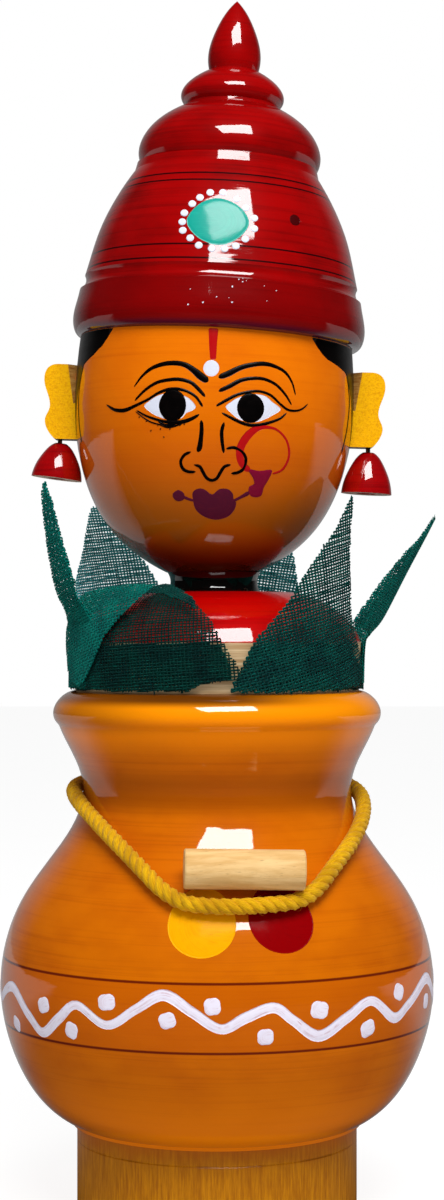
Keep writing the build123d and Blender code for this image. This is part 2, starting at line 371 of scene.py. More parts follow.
def lac(surface, colour, wave=0.00004):
    """Glossy turned lac: a hard clear layer over the colour, with lathe rings and small dents."""
    turning = surface.speck((0.030, 0.030, FINE), 3.0, 0.6)
    swell = surface.speck((0.006, 0.006, 0.0022), 1.0)
    grit = surface.noise(surface.point((FINE, FINE, FINE), UPRIGHT), 3.0, 0.7)
    normal = surface.bump(surface.plus(surface.times(turning, 0.12), swell), wave)
    pitted = surface.bump(surface.ramp(grit, 0.40, 0.33), 0.00004, 0.35, normal)
    return surface.set(
        Base_Color=colour, Roughness=surface.spread(grit, 0.30, 0.50), Normal=pitted, Coat_Normal=normal,
        Coat_Weight=1.0, Coat_Roughness=0.04, Coat_IOR=1.7, Specular_IOR_Level=0.02,
    )


def streaked(surface, colour, deep, share=0.5):
    """A lac colour that clouds toward a deeper one in soft patches and fine lathe rings."""
    cloud = surface.speck((0.012, 0.012, 0.007), 3.0)
    rings = surface.speck((0.045, 0.045, 0.0006), 2.0, 0.7)
    both = surface.plus(surface.ramp(cloud, 0.35, 0.75), surface.ramp(rings, 0.45, 0.8))
    return surface.mix(surface.times(both, share), colour, deep)


# Tints over the lac, up the pot and up the cap's and the head's own frames, among them painted light, shade
# and reflection: strength, colour, fades
POT_TINTS_AND_PAINTED_LIGHT = [
    (0.6, (202, 92, 0), (BAND_BOTTOM - 0.3, BAND_BOTTOM + 0.3), (BAND_TOP + 0.3, BAND_TOP - 0.3)),
    # Painted light: low on the belly the lac is brighter, for light bounced up from the floor.
    (0.8, (255, 134, 0), (33.0, 21.0)),
    (0.75, (158, 74, 0), (WAIST_Z - 5.5, WAIST_Z - 1.5), (WAIST_Z + 5.5, WAIST_Z + 1.5)),
    (1.0, (255, 138, 0), (WAIST_Z + 5.0, LIP_CREASE - 0.5)),
    # Painted light: the lip's top is lighter, where the soft box falls on it.
    (0.7, (255, 152, 0), (LIP_CREASE + 1.0, LIP_CREASE + 3.5)),
]
CAP_TINTS_AND_PAINTED_REFLECTION = [
    (0.6, (108, 0, 1), (CAP_BRIM_TOP, CAP_BRIM_TOP - 2.0)),
    # Painted reflection: the bottom of the brim and its underside turn plum, for the bluish grey mirrored
    # there.
    (1.0, (96, 8, 40), (1.6, 0.4)),
]
# The head's rows are painted shade: the face deepens downward, and the bottom goes brown in the painted
# shadow over the neck.
HEAD_PAINTED_SHADE = [
    (0.6, (196, 84, 0), (6.0, -12.0)),
    (1.0, (176, 90, 6), (-10.0, -24.0)),
    (1.0, (92, 34, 0), (-22.0, -30.0)),
]


def orange_lacquer():
    """The pot's lac: brown at the waist, with painted light on the lip and low down, a painted shadow on the
    lip's top, painted shade on its left side, and two scribed lines.
    """
    surface = Surface("orange_lacquer")
    height = surface.along("Z")
    across = surface.along("X")
    colour = surface.tints(streaked(surface, (216, 110, 0), (190, 86, 0)), height, POT_TINTS_AND_PAINTED_LIGHT)
    # Painted shadow: the top of the lip under the gauze goes dark brown, most on the left and fading out to
    # the right.
    painted_mouth_shadow = surface.times(surface.ramp(height, LIP_FACE, LIP_FACE + 1.8), surface.ramp(across, 30.0, 0.0))
    colour = surface.mix(painted_mouth_shadow, colour, (104, 52, 2))
    # Painted shade: the lip's left side, from just below the crease up, is darker.
    left = surface.times(surface.ramp(across, -8.0, -28.0), surface.ramp(height, 94.0, 98.0))
    colour = surface.mix(surface.times(left, 0.55), colour, (150, 78, 0))
    for at in (BAND_BOTTOM, BAND_TOP):
        colour = surface.mix(surface.line(height, at, 0.24), colour, (112, 30, 2))
    return lac(surface, colour)


def foot_lacquer():
    """Thin yellow lac over the upright grain, browner toward the top, with one worn scribed line."""
    surface = Surface("foot_lacquer")
    height = surface.along("Z")
    grain = surface.speck((FINE, FINE, 0.006), 3.0, 0.7)
    worn = surface.speck((0.006, 0.006, 0.003), 3.0)
    colour = surface.mix(surface.ramp(grain, 0.2, 0.8), (214, 138, 1), (164, 92, 0))
    top = surface.ramp(surface.plus(height, surface.spread(worn, -2.5, 2.5)), 12.5, 18.0)
    colour = surface.mix(surface.times(top, 0.8), colour, (184, 96, 1))
    scribed = surface.times(surface.line(height, FOOT_SCRIBE, 0.2), surface.ramp(worn, 0.4, 0.6))
    colour = surface.mix(surface.times(scribed, 0.4), colour, (120, 62, 4))
    normal = surface.bump(grain, 0.00006)
    return surface.set(
        Base_Color=colour, Roughness=surface.spread(grain, 0.35, 0.55), Normal=normal, Coat_Normal=normal,
        Coat_Weight=0.35, Coat_Roughness=0.16, Specular_IOR_Level=0.08,
    )


def red_lacquer():
    """The cap's and finial's lac, with the cap's scribed ring lines, a darker brim and a painted reflection,
    plum, along the brim's bottom.
    """
    surface = Surface("red_lacquer", CAP)
    colour = streaked(surface, (160, 0, 1), (106, 0, 1))
    height = surface.along("Z")
    for at in CAP_SCRIBES:
        colour = surface.mix(surface.line(height, at, 0.16), colour, (36, 0, 4))
    return lac(surface, surface.tints(colour, height, CAP_TINTS_AND_PAINTED_REFLECTION))


def partly_bare(surface, colour, bare, grain, light, dark):
    """Lac over a part, except where it is bare wood with a light and dark grain."""
    lac(surface, surface.mix(bare, colour, surface.mix(grain, light, dark)))
    return surface.set(Coat_Weight=surface.spread(bare, 1.0, 0.0))


def shoulder_lacquer():
    """Red lac on the dome, bare turned wood on the band under it."""
    surface = Surface("shoulder_lacquer")
    edge = surface.spread(surface.speck(0.004), -0.3, 0.3)
    bare = surface.ramp(surface.plus(surface.along("Z"), edge), DOME_EDGE + 0.1, DOME_EDGE - 0.1)
    grain = surface.ramp(surface.speck((0.02, 0.02, FINE), 3.0, 0.7), 0.35, 0.7)
    colour = streaked(surface, (188, 0, 1), (152, 0, 0))
    return partly_bare(surface, colour, bare, grain, (214, 188, 148), (178, 142, 100))


def bell_lacquer():
    """Deep red lac with a bare underside."""
    surface = Surface("bell_lacquer")
    under = surface.ramp(surface.facing("Z"), -0.85, -0.95)
    grain = surface.ramp(surface.speck((FINE, 0.003, FINE), 3.0), 0.3, 0.7)
    colour = streaked(surface, (170, 2, 6), (112, 0, 4))
    return partly_bare(surface, colour, under, grain, (214, 200, 178), (160, 138, 108))


def face_lacquer():
    """The head's orange lac, with painted shade that deepens it toward the chin and a painted shadow, brown,
    at the neck.
    """
    surface = Surface("face_lacquer", HEAD)
    colour = streaked(surface, (238, 120, 1), (214, 92, 1), 0.35)
    return lac(surface, surface.tints(colour, surface.along("Z"), HEAD_PAINTED_SHADE), 0.00003)


def black_lacquer():
    """The collar's black lac."""
    surface = Surface("black_lacquer")
    return lac(surface, streaked(surface, (6, 4, 4), (20, 12, 10)))


def ear_paint():
    """Yellow paint over saw marks, bare wood on the pared edge, black on the sawn outer edges."""
    surface = Surface("ear_paint")
    saw = surface.speck((0.004, 0.004, 0.0004), 4.0, 0.75)
    grit = surface.speck(0.0004, 3.0, 0.75)
    front = surface.ramp(surface.unsigned(surface.facing("Y")), 0.80, 0.93)
    yellow = surface.mix(surface.ramp(grit, 0.4, 0.75), (250, 184, 0), (222, 148, 0))
    edges = surface.mix(surface.ramp(saw, 0.4, 0.7), (26, 18, 14), (66, 40, 20))
    wood = surface.mix(surface.ramp(saw, 0.35, 0.65), (214, 160, 84), (176, 112, 46))
    slant = surface.unsigned(surface.facing("X"))
    pared = surface.times(surface.ramp(slant, 0.45, 0.6), surface.ramp(slant, 0.85, 0.75))
    return surface.set(
        Base_Color=surface.mix(front, surface.mix(pared, edges, wood), yellow),
        Roughness=surface.spread(grit, 0.40, 0.70), Coat_Weight=0.2, Coat_Roughness=0.2,
        Normal=surface.bump(surface.plus(saw, surface.times(grit, 0.6)), 0.00009), Specular_IOR_Level=0.04,
    )


def bare_wood(name, size, turn=0.0, light=(222, 190, 136), dark=(186, 146, 92)):
    """Bare turned wood: grain streaks of the given size, with fine pores."""
    surface = Surface(name)
    grain = surface.noise(surface.point(size, turn=turn), 3.0, 0.6)
    pores = surface.noise(surface.point([value * 0.22 for value in size], turn=turn), 2.0, 0.6)
    colour = surface.mix(surface.ramp(grain, 0.32, 0.68), light, dark)
    colour = surface.mix(surface.times(surface.ramp(pores, 0.36, 0.26), 0.5), colour, (160, 116, 66))
    return surface.set(
        Base_Color=colour, Roughness=surface.spread(grain, 0.55, 0.75), Specular_IOR_Level=0.2,
        Normal=surface.bump(surface.plus(grain, pores), 0.00007),
    )


def brad_steel():
    """Drawn wire, a little tarnished."""
    surface = Surface("brad_steel")
    tarnish = surface.speck(0.0006, 3.0)
    return surface.set(
        Base_Color=surface.mix(surface.ramp(tarnish, 0.4, 0.7), (168, 166, 164), (110, 98, 86)),
        Metallic=1.0, Roughness=surface.spread(tarnish, 0.25, 0.5), Normal=surface.bump(tarnish, 0.00003),
    )


def brushed_paint(name, colour, thin, gloss=0.3, thinness=0.5, shine=0.1):
    """Hand-laid enamel: brush streaks along each stroke, thinner where the brush ran dry."""
    surface = Surface(name)
    streaks = surface.noise(surface.laid((0.006, 0.00028, 1.0)), 2.0, 0.6)
    pools = surface.speck(0.0016)
    dry = surface.times(surface.ramp(streaks, 0.45, 0.75), surface.ramp(pools, 0.35, 0.65))
    return surface.set(
        Base_Color=surface.mix(surface.times(dry, thinness), colour, thin),
        Roughness=surface.spread(pools, 0.28, 0.45), Normal=surface.bump(streaks, 0.00004),
        Coat_Weight=gloss, Coat_Roughness=0.12, Specular_IOR_Level=shine,
    )


def cotton():
    """Turmeric-dyed cotton: fibres along each strand, paler where they stand proud."""
    surface = Surface("thread_cotton")
    fibres = surface.noise(surface.laid((0.0016, 0.16, 1.0)), 3.0, 0.7)
    colour = surface.mix(surface.ramp(fibres, 0.3, 0.72), (192, 134, 1), (248, 196, 16))
    dye = surface.times(surface.ramp(surface.speck(0.006), 0.4, 0.7), 0.5)
    return surface.set(
        Base_Color=surface.mix(dye, colour, (176, 120, 2)), Roughness=0.85, Specular_IOR_Level=0.1,
        Normal=surface.bump(fibres, 0.00010), Sheen_Weight=0.08, Sheen_Roughness=0.5,
    )


def dress_frame(frame):
    """Give the CAD nodes in the table below their finishes."""
    red = red_lacquer()
    ears = ear_paint()
    bells = bell_lacquer()
    dowel = bare_wood("bare_wood", (0.0012, 0.0012, 0.014))
    stick = bare_wood("stick_wood", (0.009, 0.0013, 0.0013), 8.0, (238, 198, 136), (218, 172, 106))
    finishes = {
        "pot_body": orange_lacquer(), "pot_foot": foot_lacquer(), "cap_dome": red, "cap_finial": red,
        "head": face_lacquer(), "shoulder_plug": shoulder_lacquer(), "neck_collar": black_lacquer(),
        "ear_plate_left": ears, "ear_plate_right": ears, "bell_left": bells, "bell_right": bells,
        "turmeric_stick": stick, "neck_peg": dowel, "cap_peg": dowel, "ear_pins": dowel,
        "bell_brads": brad_steel(),
    }
    for name, material in finishes.items():
        mesh = frame["nodes"][name].data
        mesh.materials.clear()
        mesh.materials.append(material)


# ---------------------------------------------------------------- paint

# How far from a part's axis the rays start, and how far in to look for paint that misses, in metres
RAY_START = 0.1
RAY_MISS = 0.070

# A stroke's section and a patch's rings, in (share of the way out, rise)
STROKE_SECTION = ((-1.0, 0.0), (-0.72, 0.8), (0.0, 1.0), (0.72, 0.8), (1.0, 0.0))
PATCH_RINGS = ((0.0, 1.0), (0.3, 1.0), (0.6, 1.0), (0.85, 1.0), (0.95, 0.7), (1.0, 0.0))

# How much a stroke widens from each point to the next at its ends, as a share of its width
STROKE_OPENS = 0.45


class Ground:
    """A surface that paint is laid on, met by rays from the front or, with a radius, from all round."""

    def __init__(self, frame, node, rolled=UPRIGHT, radius=None):
        mesh = frame["nodes"][node].data
        corners = [vertex.co.copy() for vertex in mesh.vertices]
        self.tree = BVHTree.FromPolygons(corners, [tuple(face.vertices) for face in mesh.polygons])
        self.origin, self.turn = place_in(rolled)
        self.radius = radius
        self.body, self.slot = PAINTED[node]

    def hit(self, start, direction):
        """The place and outward direction where a ray meets the surface."""
        origin = self.origin + self.turn @ start
        direction = self.turn @ direction
        place, normal, _, _ = self.tree.ray_cast(origin, direction)
        if place is None:
            place, normal, _, _ = self.tree.find_nearest(origin + direction * RAY_MISS)
        return place, -direction if normal.dot(direction) > 0 else normal

    def spot(self, across, up):
        """Where (across, up) in millimetres lands; with a radius, across is an arc length at it."""
        if self.radius is None:
            return self.hit(Vector((across * MM, -RAY_START, up * MM)), Vector((0.0, 1.0, 0.0)))
        angle = across / self.radius
        outward = Vector((math.sin(angle), -math.cos(angle), 0.0))
        return self.hit(outward * RAY_START + Vector((0.0, 0.0, up * MM)), -outward)


class Paint:
    """Strokes and patches of one colour, laid a little proud of the surface."""

    def __init__(self, ground, thick):
        self.ground = ground
        self.thick = thick * MM
        self.shape = Shape()

    def layer(self, rows, closed_rows=False):
        """A closed thin layer over a grid of (across, up, rise), each rise from 0 to 1."""
        tops = []
        bottoms = []
        laid = []
        for i, row in enumerate(rows):
            hits = [(*self.ground.spot(across, up), rise) for across, up, rise in row]
            tops.append([spot + normal * self.thick * rise for spot, normal, rise in hits])
            bottoms.append([spot - normal * self.thick for spot, normal, _ in hits])
            laid.append([(self.along(rows, i), self.across(row, j), 0.0) for j in range(len(row))])
        faces = self.shape.faces
        top = self.shape.grid(tops, laid, closed_rows)
        first = len(faces)
        bottom = self.shape.grid(bottoms, laid, closed_rows)
        faces[first:] = [tuple(reversed(face)) for face in faces[first:]]
        rim = self.rim(len(rows[0]), len(rows), closed_rows)
        for here, there in zip(rim, rim[1:] + rim[:1]):
            faces.append((top + there, top + here, bottom + here, bottom + there))

    def rim(self, width, count, closed_rows):
        """The grid's outer vertices in order."""
        last = (count - 1) * width
        if closed_rows:
            return list(range(last, last + width))
        left = range(width, last, width)
        far = range(last, last + width)
        right = reversed(range(2 * width - 1, last, width))
        return [*left, *far, *right, *reversed(range(width))]

    def along(self, rows, index):
        """How far a row is along its stroke, in metres."""
        middle = len(rows[0]) // 2
        spots = [Vector(row[middle][:2]) for row in rows[:index + 1]]
        return sum((after - before).length for before, after in zip(spots, spots[1:])) * MM

    def across(self, row, index):
        """How far a point is across its stroke, in metres."""
        return (Vector(row[index][:2]) - Vector(row[0][:2])).length * MM

    def stroke(self, points, taper=(0.25, 0.25), step=0.4):
        """A brush stroke through (across, up, width) points, its ends narrowed to shares of the width."""
        line = smooth_line([Vector(point) for point in points], step)
        last = len(line) - 1
        rows = []
        for index, point in enumerate(line):
            before, after = neighbours(line, index)
            direction = Vector((after.x - before.x, after.y - before.y)).normalized()
            normal = Vector((-direction.y, direction.x))
            ends = min(1.0, taper[0] + index * STROKE_OPENS, taper[1] + (last - index) * STROKE_OPENS)
            half = point.z * 0.5 * ends
            level = 0.0 if index in (0, last) else 1.0
            rows.append([
                (point.x + normal.x * half * share, point.y + normal.y * half * share, rise * level)
                for share, rise in STROKE_SECTION
            ])
        self.layer(rows)

    def patch(self, outline):
        """A filled shape inside a smooth closed outline of (across, up) points."""
        corners = [Vector((*point, 0.0)) for point in outline]
        looped = smooth_line([corners[-1], *corners, corners[0], corners[1]], 0.5)

        def away(index):
            return (looped[index] - corners[0]).length

        first = min(range(len(looped)), key=away)
        last = min(range(first + 3, len(looped)), key=away)
        ring = looped[first:last]
        middle = sum(ring, Vector()) / len(ring)
        self.layer([
            [(*(middle + (point - middle) * share).xy, rise) for point in ring] for share, rise in PATCH_RINGS
        ], closed_rows=True)

    def dot(self, across, up, wide, tall, turn=0.0, corners=12, squareness=0.0):
        """A round or squarish dab of paint."""
        outline = []
        for index in range(corners):
            angle = 2 * math.pi * index / corners
            stretch = 1.0 + squareness * (abs(math.sin(2 * angle)) - 0.4)
            x = math.cos(angle) * wide / 2 * stretch
            y = math.sin(angle) * tall / 2 * stretch
            turned = Matrix.Rotation(math.radians(turn), 2) @ Vector((x, y))
            outline.append((across + turned.x, up + turned.y))
        self.patch(outline)

    def piece(self, name, material):
        """The finished paint as one piece."""
        self.shape.piece(name, material, self.ground.body, self.ground.slot)

# The face, in (across, up) or (across, up, width) millimetres in the head's rolled frame
BLACK_LINES = [
    [(-15.2, 3.1, 0.19), (-13.8, 5, 0.38), (-12, 6.5, 0.56), (-9.8, 7.3, 0.69), (-7.6, 7.5, 0.75),
     (-5.7, 7.2, 0.81), (-4.1, 6.3, 0.94), (-2.5, 5, 1.19), (-1.1, 4.1, 0.94)],
    [(0.8, 4.9, 0.75), (2.5, 5.6, 0.94), (4.7, 6.8, 0.81), (6.8, 7.5, 0.75), (9.3, 7.9, 0.69),
     (11.6, 7.5, 0.56), (13.5, 6.5, 0.44), (14.8, 4.7, 0.31), (15.5, 2.4, 0.19)],
    [(-15, 0.5, 0.31), (-13.1, 2.4, 0.44), (-10.9, 3.8, 0.5), (-8.7, 4.3, 0.56), (-6.5, 4.4, 0.56),
     (-4.3, 3.8, 0.56), (-2.7, 2.4, 0.56), (-1.6, 1.2, 0.44)],
    [(0.9, 2.3, 0.56), (2.9, 3.3, 0.69), (5, 4.5, 0.63), (7.2, 5, 0.56), (9.4, 5, 0.5), (11.7, 4.1, 0.44),
     (13.6, 2.3, 0.38), (14.8, 0.5, 0.25)],
    [(-20.6, 0.1, 0.19), (-18.9, -1, 0.5), (-16.9, -1.2, 0.63), (-15, -0.5, 0.5), (-12.4, 0.7, 0.41),
     (-10.6, 1.8, 0.44), (-8.7, 2.5, 0.5), (-6.8, 2.6, 0.5), (-4.9, 2.1, 0.44), (-3.3, 1.1, 0.41),
     (-2, -0.7, 0.38)],
    [(0.5, -0.5, 0.38), (2.3, 0.6, 0.47), (4.5, 1.8, 0.47), (7, 2.5, 0.44), (8.9, 2.6, 0.41),
     (10.8, 2, 0.41), (12.4, 0.7, 0.38), (14, -0.4, 0.38), (15.6, -0.5, 0.34), (16.9, 0, 0.28),
     (18, 1.1, 0.16)],
    [(-14.6, -1.3, 0.19), (-12.7, -2.4, 0.34), (-10.4, -3.2, 0.41), (-8.5, -3.6, 0.5), (-6, -3.6, 0.63),
     (-4.1, -3, 0.56), (-2.6, -2.1, 0.38)],
    [(-14.8, -1.5, 0.12), (-13.1, -2.8, 0.2), (-11.7, -3.6, 0.24), (-10, -4.1, 0.24), (-8.5, -4.6, 0.3),
     (-7, -4.3, 0.3), (-5.6, -3.8, 0.24)],
    [(-10.6, -3.2, 0.2), (-9.8, -3.8, 0.3), (-8.9, -4.2, 0.4), (-7.8, -4.1, 0.5), (-6.8, -3.8, 0.4)],
    [(1.6, -1.7, 0.31), (3.4, -2.6, 0.44), (5.3, -3.4, 0.5), (7.1, -3.8, 0.53), (9, -3.6, 0.5),
     (11.2, -2.9, 0.41), (12.8, -2.1, 0.34), (13.9, -1, 0.22)],
    [(-2.2, -3.2, 0.5), (-2.1, -4.9, 0.63), (-2.2, -6.7, 0.69), (-2.4, -8.3, 0.81), (-2.8, -9.1, 0.63)],
    [(2.1, -3.5, 0.44), (1.7, -5.1, 0.56), (1.8, -6.9, 0.56), (2.2, -9.2, 0.44)],
    [(-4, -9.1, 0.41), (-5.2, -9.7, 0.47), (-5.9, -10.9, 0.47), (-5.5, -12.2, 0.5), (-4.4, -12.8, 0.47),
     (-3, -12.8, 0.41)],
    [(2.6, -8.4, 0.41), (4.1, -8.1, 0.47), (5.6, -8.8, 0.47), (6.4, -10.1, 0.47), (6, -11.9, 0.47),
     (4.9, -12.7, 0.47), (3.7, -12.9, 0.41)],
    [(-3.4, -11.5, 0.38), (-2.3, -11.8, 0.47), (-1.7, -12.7, 0.5), (-0.9, -13.9, 0.5), (0.1, -14.3, 0.47),
     (1, -13.9, 0.47), (1.6, -12.9, 0.5), (2.4, -11.7, 0.47), (3.6, -11.3, 0.38)],
]
# How much heavier than those widths the brush draws
LINE_WEIGHT = 1.25
EYE_WHITES = [
    [(-13.1, -0.6), (-12.3, 0.3), (-10.5, 1.4), (-8, 1.9), (-5.5, 1.3), (-4.2, 0.5), (-3.3, -0.7),
     (-3.9, -1.4), (-5.1, -1.9), (-6, -2.9), (-8.5, -3.1), (-10.3, -2.6), (-11.7, -1.9)],
    [(2.3, -0.6), (3.3, 0.4), (4.5, 1.2), (7, 2), (9.5, 1.9), (11.1, 0.8), (12.7, -0.5), (10.9, -1.9),
     (9, -2.9), (7.1, -3.3), (4.9, -2.8), (3.7, -2)],
]
PUPILS = [(-7.7, -0.5, 5.3, 6), (7, -0.6, 5.3, 5.6)]
SMUDGE = [
    (-14, -2.6), (-12.6, -3.4), (-11.7, -5.2), (-10.4, -4.2), (-9.2, -6.4), (-8.8, -4.4), (-7.3, -4.3),
    (-6.2, -4.2), (-9.9, -4.9), (-8.1, -4.9), (-5.4, -4),
]
NOSE_RING = [
    (11.5, -12.6, 0.38), (13.3, -11.8, 0.41), (14.4, -10, 0.44), (14.6, -8.1, 0.44), (13.9, -6, 0.44),
    (12.2, -4.4, 0.44), (10.3, -4, 0.63), (8.4, -4.3, 1.13), (6.7, -5.7, 1.5), (5.5, -7.6, 1.5),
    (5.2, -9.4, 1.44), (5.8, -11.2, 1.32), (7.3, -12.3, 1.13),
]
NOSE_DROP = [
    (6.9, -12), (9, -12.2), (11.4, -11.9), (10.9, -13.6), (10, -15.2), (9.5, -16.8), (8, -17.1),
    (7.1, -16.4), (7.2, -15.2), (8.1, -14.7), (7.8, -13.5),
]
LIPS = [
    (-3.5, -16.6), (-2.5, -15.9), (-1.3, -16), (0.2, -16.9), (1.5, -15.9), (3.1, -15.8), (4.1, -16.6),
    (4.3, -17.6), (4.8, -18.2), (4.6, -19.4), (3.6, -20.7), (2, -21.4), (0.4, -21.5), (-1.5, -20.9),
    (-2.9, -19.7), (-3.4, -18.1),
]
LIP_BLOB = [(-7.3, -16.9), (-6.2, -16.2), (-5.1, -16.9), (-5.1, -17.9), (-6.2, -18.3), (-7.1, -17.8)]


def paint_face(frame, black, white):
    """The face's lines and shapes, in the head's rolled frame."""
    ground = Ground(frame, "head", HEAD)
    plum = brushed_paint("plum_paint", (88, 14, 44), (112, 20, 42), 0.35, 0.6)
    red = brushed_paint("red_paint", (178, 2, 8), (190, 40, 6), 0.35, 0.5)
    berry = brushed_paint("berry_paint", (126, 0, 44), (150, 10, 40), 0.35, 0.6)

    whites = Paint(ground, 0.05)
    for outline in EYE_WHITES:
        whites.patch(outline)
    whites.dot(-0.6, 6.6, 3.0, 3.1)
    whites.piece("face_whites", white)

    lines = Paint(ground, 0.11)
    for line in BLACK_LINES:
        lines.stroke([(across, up, wide * LINE_WEIGHT) for across, up, wide in line])
    for across, up, wide, tall in PUPILS:
        lines.dot(across, up, wide, tall, corners=18)
    for index, (across, up) in enumerate(SMUDGE):
        lines.dot(across, up, 0.30 + 0.05 * (index % 3), 0.22, 30 * index, corners=7)
    lines.piece("face_lines", black)

    mouth = Paint(ground, 0.08)
    mouth.patch(LIPS)
    mouth.stroke([(-3.1, -18.2, 0.5), (-4.4, -17.8, 0.5), (-5.4, -17.4, 0.69)])
    mouth.patch(LIP_BLOB)
    mouth.stroke([(4.2, -18.0, 0.5), (5.7, -17.2, 0.56), (7.4, -16.2, 0.88)])
    mouth.piece("face_lips", plum)

    marks = Paint(ground, 0.08)
    marks.stroke([(-0.4, 14.2, 1.88), (-0.4, 11.1, 1.5), (-0.3, 8.2, 1.13)], (0.8, 0.5))
    marks.stroke(NOSE_RING)
    marks.piece("face_red_marks", red)
    drop = Paint(ground, 0.10)
    drop.patch(NOSE_DROP)
    drop.piece("nose_drop", berry)


# The hair's lower edge and the sideburns, in (azimuth, up), and the cap's edge that it runs up to
HAIR_EDGE = [
    (43, 13.6), (47, 11.5), (51, 10.2), (59, 9.3), (69, 8.1), (75, 4), (82, -3), (90, -9), (110, -12),
    (180, -12.5), (250, -12), (270, -9), (278, -3), (285, 4), (291, 8.4), (301, 10.1), (308, 11.8),
    (313, 14.6),
]
HAIR_ROWS = 36
HAIR_COLUMNS = 90
NAPE = (100.0, 260.0)
CAP_EDGE = 14.35
CAP_LEAN = 0.0244
SIDEBURNS = [
    [(69, 8.4), (73, 3.3), (72.5, -1.6), (71, -4.7), (69.5, -7.3)],
    [(-69, 8.6), (-73.5, 3.9), (-74, -2), (-72.5, -6.4)],
]


def paint_hair(frame, black):
    """Black hair round the back of the head, from one temple to the other."""
    hair = Paint(Ground(frame, "head", HEAD, HEAD_R), 0.06)
    rows = []
    first = HAIR_EDGE[0][0]
    last = HAIR_EDGE[-1][0]
    for index in range(HAIR_COLUMNS + 1):
        angle = first + (last - first) * index / HAIR_COLUMNS
        ripple = 0.5 * math.sin(angle * 0.13) + 0.3 * math.sin(angle * 0.31)
        low = between(angle, HAIR_EDGE) + (ripple if NAPE[0] < angle < NAPE[1] else 0.0)
        high = CAP_EDGE - CAP_LEAN * HEAD_R * math.sin(math.radians(angle))
        ends = 0.0 if index in (0, HAIR_COLUMNS) else 1.0
        row = []
        for step in range(HAIR_ROWS, -1, -1):
            rise = 0.0 if step == 0 else ends
            row.append((math.radians(angle) * HEAD_R, low + (high - low) * step / HAIR_ROWS, rise))
        rows.append(row)
    hair.layer(rows)
    for line in SIDEBURNS:
        hair.stroke([(math.radians(angle) * HEAD_R, up, 0.8) for angle, up in line])
    hair.piece("hair_paint", black)


# The cap's jewel and its dots, in (across, up) in the cap's rolled frame
JEWEL = [
    (-7, 20.3), (-6, 22.4), (-4, 24.2), (-1.2, 25), (1.8, 24.2), (4, 22.4), (4.9, 20.3), (4, 18.2),
    (1.8, 16.3), (-1, 15.6), (-4, 16.5), (-6.1, 18.3),
]
JEWEL_DOTS = [
    (-2.8, 26.1), (-4.7, 25), (-6.1, 23.7), (-7.5, 21.8), (-7.8, 20), (-7.6, 18.3), (-6.1, 16.8),
    (-4.4, 15.4), (-1.9, 14.8), (0.5, 14.9), (2.6, 15.6), (4.3, 17.1), (5.9, 19.3), (5.8, 21.4), (4.1, 23.3),
    (2.3, 25), (-0.4, 26.2),
]


def paint_cap(frame, white):
    """The cap's jewel: a teal lozenge in a ring of white dots. Also a dark chip and small knocks."""
    ground = Ground(frame, "cap_dome", CAP)
    teal = brushed_paint("teal_paint", (18, 158, 142), (40, 190, 168), 0.5, 0.6)
    jewel = Paint(ground, 0.12)
    jewel.patch(JEWEL)
    jewel.piece("cap_jewel", teal)
    ring = Paint(ground, 0.15)
    for across, up in JEWEL_DOTS:
        ring.dot(across, up, 1.5, 1.4)
    ring.piece("cap_jewel_dots", white)
    chip = Paint(ground, 0.03)
    chip.dot(13.6, 22.1, 2.0, 2.3, 20)
    chip.piece("cap_chip", brushed_paint("maroon_paint", (66, 0, 2), (90, 2, 4), 0.6, 0.5))
    chance = random.Random(5)
    knocks = Paint(ground, 0.03)
    for _ in range(14):
        size = chance.uniform(0.16, 0.42)
        across = chance.gauss(4.0, 5.5)
        up = chance.uniform(3.6, 9.4)
        knocks.dot(across, up, size, size * 0.7, chance.uniform(0, 90), corners=7)
    knocks.piece("cap_brim_specks", white)


# The wave's turns in front and the dots beside it, in (azimuth, up)
WAVE_FRONT = [
    (-78, 42.9), (-66, 46.4), (-56, 42), (-50, 39.3), (-43, 42.7), (-37, 45.6), (-28, 42.5), (-20, 45.8),
    (-13, 48.6), (-6, 45.7), (1, 42.6), (7, 44.6), (14, 46.3), (19, 43.8), (26, 40.6), (34, 43.5), (42, 46),
    (51, 42), (58, 44), (70, 47.6), (79, 44.1),
]
UPPER_DOTS = [(-49, 44.6), (-28, 46.7), (-1, 46.7), (26, 45.4), (53, 46.7)]
LOWER_DOTS = [(-64, 39.5), (-39, 40.7), (-12, 44), (12, 41), (41, 40.9), (70, 43.2)]
# The wave behind goes on from its first crest to a last azimuth, in even steps, and then to its end
WAVE_BACK = (95.0, 270.0, 26.5)
WAVE_END = (282.0, 42.9)
WAVE_LOW = 41.3
WAVE_HIGH = 46.6
UPPER_DOT = 45.9
LOWER_DOT = 41.4
# The discs under the thread: piece, paint, azimuth, up, laid colour, thin colour and thinness
DISCS = [
    ("disc_yellow", "yellow_paint", -4.0, 61.3, (246, 170, 1), (222, 138, 1), 0.8),
    ("disc_red", "crimson_paint", 18.0, 61.9, (138, 0, 4), (120, 0, 4), 0.6),
]
DISC_SIZE = (14.0, 12.2)


